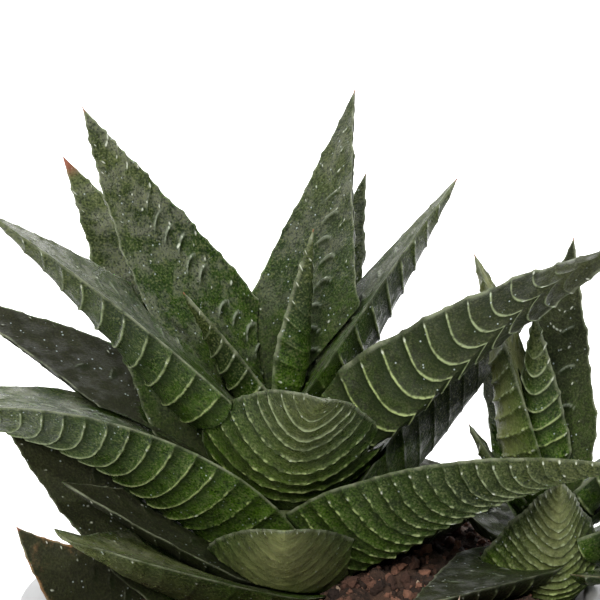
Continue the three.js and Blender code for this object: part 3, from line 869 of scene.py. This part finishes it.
def leaf_material():
    """Dark waxy green with pale ridges, edges and pearls, reddish tips and brighter green low down, and
    painted shade, light, sheen and glints.
    """
    s = Shader("haworthia_leaf")
    mottle = s.noise(scale=420.0, detail=5.0, roughness=0.7)
    grain = s.noise(scale=2200.0, detail=2.0)
    inner = s.value("inner")
    # Fine raised glossy specks in clusters, more on the inner face; their colour is a painted glint.
    clusters = s.ramp(s.plus(s.noise(scale=130.0), s.times(inner, 0.07)), 0.5, 0.56)
    specks_and_glints = s.times(s.ramp(s.cells(scale=600.0), 0.15, 0.06), clusters)
    green = leaf_green(s, mottle, grain, inner)
    skin = leaf_marks(s, leaf_lines(s, green, inner), specks_and_glints, mottle, grain)
    rough = s.ramp(s.noise(scale=300.0), 0.38, 0.62, 0.22, 0.62)
    rough = s.plus(rough, s.times(s.value("dark"), 0.35))
    fine = s.bump(s.plus(grain, specks_and_glints), distance=0.00016, strength=0.8)
    s.set(Base_Color=skin, Roughness=s.minus(rough, s.times(specks_and_glints, 0.15)))
    s.set(Normal=s.bump(mottle, distance=0.0005, strength=0.7, Normal=fine))
    s.set(Subsurface_Weight=0.05, Subsurface_Radius=(0.4, 1.0, 0.2), Subsurface_Scale=0.0015)
    s.set(Specular_IOR_Level=0.15)
    return s.material


def stem_material():
    """Matte pale green, with fine streaks."""
    s = Shader("haworthia_stem")
    streaks = s.noise(scale=300.0)
    s.set(Base_Color=s.mix(streaks, (0.10, 0.14, 0.05), (0.2, 0.24, 0.1)), Roughness=0.6)
    s.set(Normal=s.bump(streaks, distance=0.0004))
    return s.material


def soil_material():
    """Dark brown soil with paler reddish flecks."""
    s = Shader("potting_soil")
    coarse = s.noise(scale=260.0, detail=5.0)
    fine = s.noise(scale=1500.0, detail=4.0)
    brown = s.mix(s.ramp(coarse, 0.35, 0.65), (0.022, 0.012, 0.008), (0.075, 0.04, 0.026))
    brown = s.mix(s.ramp(fine, 0.55, 0.75, 0.0, 0.7), brown, (0.17, 0.09, 0.06))
    s.set(Base_Color=brown, Roughness=0.95)
    s.set(Normal=s.bump(fine, distance=0.0008, Normal=s.bump(coarse, distance=0.002)))
    return s.material


def crumb_material():
    """Soil crumbs, from near black through reddish brown to a few pale chips."""
    s = Shader("soil_crumbs")
    tone = s.value("tone")
    fine = s.noise(scale=1700.0, detail=4.0)
    crumb = s.mix(s.ramp(tone, 0.0, 0.6), (0.022, 0.011, 0.008), (0.13, 0.058, 0.038))
    crumb = s.mix(s.ramp(tone, 0.6, 0.85), crumb, (0.36, 0.17, 0.11))
    crumb = s.mix(s.ramp(tone, 0.94, 0.97), crumb, (0.55, 0.42, 0.3))
    s.set(Base_Color=s.mix(s.times(fine, 0.75), crumb, (0.03, 0.017, 0.012)), Roughness=0.92)
    s.set(Normal=s.bump(fine, distance=0.0006))
    return s.material


def pot_material():
    """Smooth light grey glaze, faintly cloudy, with fine warm specks."""
    s = Shader("pot_glaze")
    cloud = s.noise(scale=35.0)
    grey = s.mix(cloud, (0.33, 0.33, 0.34), (0.40, 0.40, 0.41))
    grey = s.mix(s.ramp(s.cells(scale=900.0), 0.08, 0.02, 0.0, 0.35), grey, (0.45, 0.42, 0.38))
    s.set(Base_Color=grey, Roughness=s.ramp(cloud, 0.3, 0.7, 0.38, 0.5))
    s.set(Normal=s.bump(cloud, distance=0.0006, strength=0.3), Specular_IOR_Level=0.2)
    return s.material


def floor_material():
    """Matte pale grey, very nearly even."""
    s = Shader("pale_floor")
    s.set(Base_Color=s.mix(s.noise(scale=3.0), (0.9, 0.9, 0.9), (0.92, 0.92, 0.92)), Roughness=0.9)
    return s.material


# Soil

# A heap with lumps, as in the part, and finer ones. Edge is its height at the pot's wall, and
# depth is how far its upright side reaches below that. Lumps and swells are waves, with x and y
# in radians a millimetre. The slope down to the wall starts at a radius and ends at a height.
MOUND = SimpleNamespace(edge=101, depth=3, height=17, x=5, y=24, radius=62)
LUMP = SimpleNamespace(height=1.3, x=0.61, y=0.53, phase=1.3)
SWELL = SimpleNamespace(height=0.78, x=0.23, y=-0.37, phase=1.3)
CRUMBLE = SimpleNamespace(height=1.1, scale=0.35, layer=3.1, fall=0.9, finer=2.1, octaves=5)
SOIL_FLOOR = 6.3
SOIL_FOOT_RADIUS = 40.5
SOIL_TOP_RADIUS = 51.0
SLOPE_START = 42
SLOPE_FOOT = 104.5
SOIL_RINGS = 80
SOIL_SIDES = 150


def soil_height(x, y):
    """Height of the soil's heap, which slopes down to the pot's wall."""
    away = math.hypot(x - MOUND.x, y - MOUND.y) / MOUND.radius
    heap = MOUND.height * (1 - min(away, 1) ** 2)
    lump = LUMP.height * math.sin(LUMP.x * x + LUMP.phase) * math.cos(LUMP.y * y)
    swell = SWELL.height * math.sin(SWELL.x * x + SWELL.y * y + SWELL.phase)
    at = (x * CRUMBLE.scale, y * CRUMBLE.scale, CRUMBLE.layer)
    crumble = CRUMBLE.height * noise.fractal(at, CRUMBLE.fall, CRUMBLE.finer, CRUMBLE.octaves)
    height = MOUND.edge + heap + lump + swell + crumble
    slope = float(smooth_step(SLOPE_START, SOIL_TOP_RADIUS, math.hypot(x, y)))
    return blend(height, min(height, SLOPE_FOOT), slope)


def fine_soil():
    """The soil's body: hidden underside and side, then rings over the heap from the wall inwards."""
    angle = round_angles(SOIL_SIDES)
    below = (
        (CENTRE_RADIUS, SOIL_FLOOR),
        (SOIL_FOOT_RADIUS, SOIL_FLOOR),
        (SOIL_TOP_RADIUS, MOUND.edge - MOUND.depth),
    )
    points = [(radius * math.cos(a), radius * math.sin(a), height) for radius, height in below for a in angle]
    for ring in range(SOIL_RINGS, 0, -1):
        radius = SOIL_TOP_RADIUS * ring / SOIL_RINGS
        for a in angle:
            x = radius * math.cos(a)
            y = radius * math.sin(a)
            points.append((x, y, soil_height(x, y)))
    return new_object("soil_bed", points, skin_faces(len(below) + SOIL_RINGS, SOIL_SIDES))


# Soil crumbs

# Uneven balls that lie partly in the soil. Rise and room are in shares of a crumb's size.
CRUMB_COUNT = 2600
CRUMB_DETAIL = 1
CRUMB_SMALLEST = 0.45
CRUMB_SPREAD = 1.5
CRUMB_RISE = 0.25
CRUMB_ROOM = 1.2
CRUMB_MARGIN = 1.5
CRUMB_UNEVEN = (0.6, 1.15)
CRUMB_STRETCH = (0.6, 1.2)

# A pale splinter of wood stands in the soil in front: its place, half sizes and lean.
SPLINTER = SimpleNamespace(place=(24, -42, 109), size=(0.8, 0.6, 7.5),
                           lean=np.array([[1, 0, 0.15], [0, 1, 0], [0.25, 0.1, 1]]))
SPLINTER_TONE = 1.0


def ball(subdivisions):
    """Points and faces of a unit ball of triangles."""
    work = bmesh.new()
    bmesh.ops.create_icosphere(work, subdivisions=subdivisions, radius=1)
    points = np.array([v.co[:] for v in work.verts])
    faces = np.array([[v.index for v in face.verts] for face in work.faces])
    work.free()
    return points, faces


def leaf_tree(leaves):
    """All leaves as one search tree, to keep crumbs out of them."""
    points = []
    faces = []
    for piece in leaves:
        start = len(points)
        points += [v.co[:] for v in piece.data.vertices]
        faces += [[start + i for i in face.vertices] for face in piece.data.polygons]
    return BVHTree.FromPolygons(points, faces)


def clear_of_leaves(tree, place, radius):
    """True where a ball of that radius touches no leaf and is inside none."""
    middle = Vector(place) * MM
    found, normal, _, distance = tree.find_nearest(middle)
    outside = (middle - found).dot(normal) > 0
    return outside and distance > radius * MM


def random_crumb(unit, random):
    """Place, size, points and tone of one crumb, spread evenly over the soil's top."""
    radius = math.sqrt(random.uniform()) * (SOIL_TOP_RADIUS - CRUMB_MARGIN)
    angle = random.uniform(0, WHOLE_TURN)
    x = radius * math.cos(angle)
    y = radius * math.sin(angle)
    size = CRUMB_SMALLEST + CRUMB_SPREAD * random.uniform() ** 3
    place = (x, y, soil_height(x, y) + CRUMB_RISE * size)
    shape = unit * random.uniform(*CRUMB_UNEVEN, (len(unit), 1)) * random.uniform(*CRUMB_STRETCH, 3) * size
    spin = np.linalg.qr(random.normal(size=(3, 3)))[0]
    return place, size, shape @ spin + place, random.uniform()


def crumbs(leaves, random):
    """All crumbs and the splinter as one piece, each with a tone from 0 to 1 for its material."""
    tree = leaf_tree(leaves)
    unit, unit_faces = ball(CRUMB_DETAIL)
    lumps = []
    tones = []
    while len(lumps) < CRUMB_COUNT:
        place, size, points, tone = random_crumb(unit, random)
        if clear_of_leaves(tree, place, CRUMB_ROOM * size):
            lumps.append(points)
            tones.append(tone)
    lumps.append(unit * SPLINTER.size @ SPLINTER.lean + SPLINTER.place)
    tones.append(SPLINTER_TONE)
    faces = [unit_faces + number * len(unit) for number in range(len(lumps))]
    piece = new_object("soil_crumbs", np.vstack(lumps), np.vstack(faces).tolist(), smooth=False)
    add_values(piece, "tone", np.repeat(tones, len(unit)))
    return piece


# Pot

# A plain tapered cup with a thick rounded lip. The step points are out from the body's top and
# up from the lip's foot, and the edge points the same from the rim and the step's top.
POT = SimpleNamespace(rim=62, body_top=59, foot=46, height=108, wall=4.5, floor=6, chamfer=2, lip_depth=15,
                      lip_round=4.4, inner_round=2.6)
BODY_SHARES = (0.1, 0.5, 0.94)
STEP_POINTS = ((0.15, 0.6), (0.9, 1.7))
EDGE_POINTS = ((-0.25, 0), (0, 1))
POT_SIDES = 160
ROUND_STEPS = 12


def rounded(radius_at, height_at, radius, start, end):
    """Points of a round stretch of the pot's outline, around a centre, from one angle to another."""
    steps = [blend(start, end, step / ROUND_STEPS) * DEGREE for step in range(ROUND_STEPS + 1)]
    return [(radius_at + radius * math.cos(a), height_at + radius * math.sin(a)) for a in steps]


def pot_inside(height):
    """Inner radius of the pot at a height."""
    share = (height - POT.floor) / (POT.height - POT.floor)
    return blend(POT.foot - POT.wall, POT.rim - 2 * POT.wall, share)


def pot_profile():
    """Radius and height along the pot's outline, from the middle of its underside to that of its floor."""
    lip_foot = POT.height - POT.lip_depth
    step_top = lip_foot + POT.rim - POT.body_top
    inner_top = POT.height - POT.inner_round
    profile = [(CENTRE_RADIUS, 0)]
    profile += rounded(POT.foot - POT.chamfer, POT.chamfer, POT.chamfer, -90, -10)
    for share in BODY_SHARES:
        profile.append((blend(POT.foot, POT.body_top, share), blend(POT.chamfer, lip_foot, share)))
    profile += [(POT.body_top + out, lip_foot + up) for out, up in STEP_POINTS]
    profile += [(POT.rim + out, step_top + up) for out, up in EDGE_POINTS]
    profile += rounded(POT.rim - POT.lip_round, POT.height - POT.lip_round, POT.lip_round, 0, 90)
    profile += rounded(pot_inside(inner_top) + POT.inner_round, inner_top, POT.inner_round, 90, 180)
    return profile + [(pot_inside(POT.floor), POT.floor), (CENTRE_RADIUS, POT.floor)]


def fine_pot():
    profile = pot_profile()
    angle = round_angles(POT_SIDES)
    points = [(r * math.cos(a), r * math.sin(a), z) for r, z in profile for a in angle]
    return new_object("pot_body", points, skin_faces(len(profile), POT_SIDES))


# Setting

# The camera stands in front of the plant, a little above it. Its lens and sensor are in
# millimetres, and its place and reach in metres.
CAMERA_AIM = Vector((-0.005, 0.0, 0.167))
CAMERA_DISTANCE = 0.9
CAMERA_ELEVATION = 10 * DEGREE
CAMERA_REACH = 20
SENSOR_WIDTH = 36
LENS = 270

# The floor's half size is in millimetres, and the places of the lights are in metres.
FLOOR_HALF_SIZE = 6000
PLANT_MIDDLE = (0, 0, 0.15)
FLOOR_LIGHT_PLACE = (0, 2.1, 0.75)
FLOOR_LIGHT_AIM = (0, 2.1, 0)


def add_floor():
    corners = [(x * FLOOR_HALF_SIZE, y * FLOOR_HALF_SIZE, 0) for x, y in ((-1, -1), (1, -1), (1, 1), (-1, 1))]
    floor = new_object("floor", corners, [(0, 1, 2, 3)])
    floor.data.materials.append(floor_material())


def add_light(name, place, aim, size, power, colour=(1, 1, 1)):
    data = bpy.data.lights.new(name, "AREA")
    data.shape = "RECTANGLE"
    data.size, data.size_y = size
    data.energy = power
    data.color = colour
    lamp = bpy.data.objects.new(name, data)
    bpy.context.scene.collection.objects.link(lamp)
    lamp.location = place
    lamp.rotation_euler = (Vector(aim) - Vector(place)).to_track_quat("-Z", "Y").to_euler()


def add_lights():
    """A soft box above, a stronger one in front, a small lamp for glints, and a panel behind the plant."""
    add_light("top_light", (-0.25, 0.0, 1.1), PLANT_MIDDLE, (0.7, 0.7), 6, (0.93, 0.97, 1))
    add_light("front_light", (-0.4, -1.2, 0.75), PLANT_MIDDLE, (0.5, 0.5), 16, (1, 0.98, 0.90))
    add_light("glint_light", (0.4, -0.8, 0.9), PLANT_MIDDLE, (0.06, 0.06), 5)
    add_light("floor_light", FLOOR_LIGHT_PLACE, FLOOR_LIGHT_AIM, (5, 3.4), 190)


def add_world():
    world = bpy.data.worlds.new("studio")
    world.use_nodes = True
    background = world.node_tree.nodes["Background"]
    background.inputs["Color"].default_value = (0.95, 0.98, 1, 1)
    background.inputs["Strength"].default_value = 0.05
    bpy.context.scene.world = world


def add_camera():
    data = bpy.data.cameras.new("camera")
    data.sensor_width = SENSOR_WIDTH
    data.lens = LENS
    data.clip_end = CAMERA_REACH
    camera = bpy.data.objects.new("camera", data)
    bpy.context.scene.collection.objects.link(camera)
    back = Vector((0, -math.cos(CAMERA_ELEVATION), math.sin(CAMERA_ELEVATION)))
    camera.location = CAMERA_AIM + CAMERA_DISTANCE * back
    camera.rotation_euler = (math.pi / 2 - CAMERA_ELEVATION, 0, 0)
    bpy.context.scene.camera = camera


# Putting it together

def wear(piece, material):
    piece.data.materials.clear()
    piece.data.materials.append(material)


def dress(piece, material, node=None):
    """Gives a piece its material, body and slot, and hides the node that it stands for."""
    wear(piece, material)
    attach(piece, "root")
    if node:
        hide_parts(node)


def build_plant(random):
    """All leaves of both rosettes, each cut clear of the younger ones and the stems."""
    pieces = []
    rooms = []
    skin = leaf_material()
    for plant, leaves, stem in (("main", MAIN_LEAVES, MAIN_STEM), ("offset", OFFSET_LEAVES, OFFSET_STEM)):
        rooms.append(stem_room(plant + "_stem_room", stem))
        for number, shape in enumerate(leaves, start=1):
            node = f"{plant}_leaf_{number:02d}"
            piece = fine_leaf("fine_" + node, shape, stem, random)
            cut(piece, rooms)
            piece.data.set_sharp_from_angle(angle=SMOOTH_ANGLE)
            dress(piece, skin, node)
            pieces.append(piece)
            rooms.append(leaf_room(node + "_room", shape, stem))
    return pieces, rooms


def build():
    random = np.random.default_rng(SEED)
    add_camera()
    add_lights()
    add_world()
    add_floor()
    leaves, rooms = build_plant(random)
    soil = fine_soil()
    cut(soil, rooms)
    dress(soil, soil_material(), "soil")
    dress(crumbs(leaves, random), crumb_material())
    dress(fine_pot(), pot_material(), "pot")
    stem_skin = stem_material()
    for node in ("main_stem", "offset_stem"):
        wear(frame["nodes"][node], stem_skin)
    for room in rooms:
        bpy.data.objects.remove(room)
    bpy.context.scene.view_settings.view_transform = "Standard"


build()
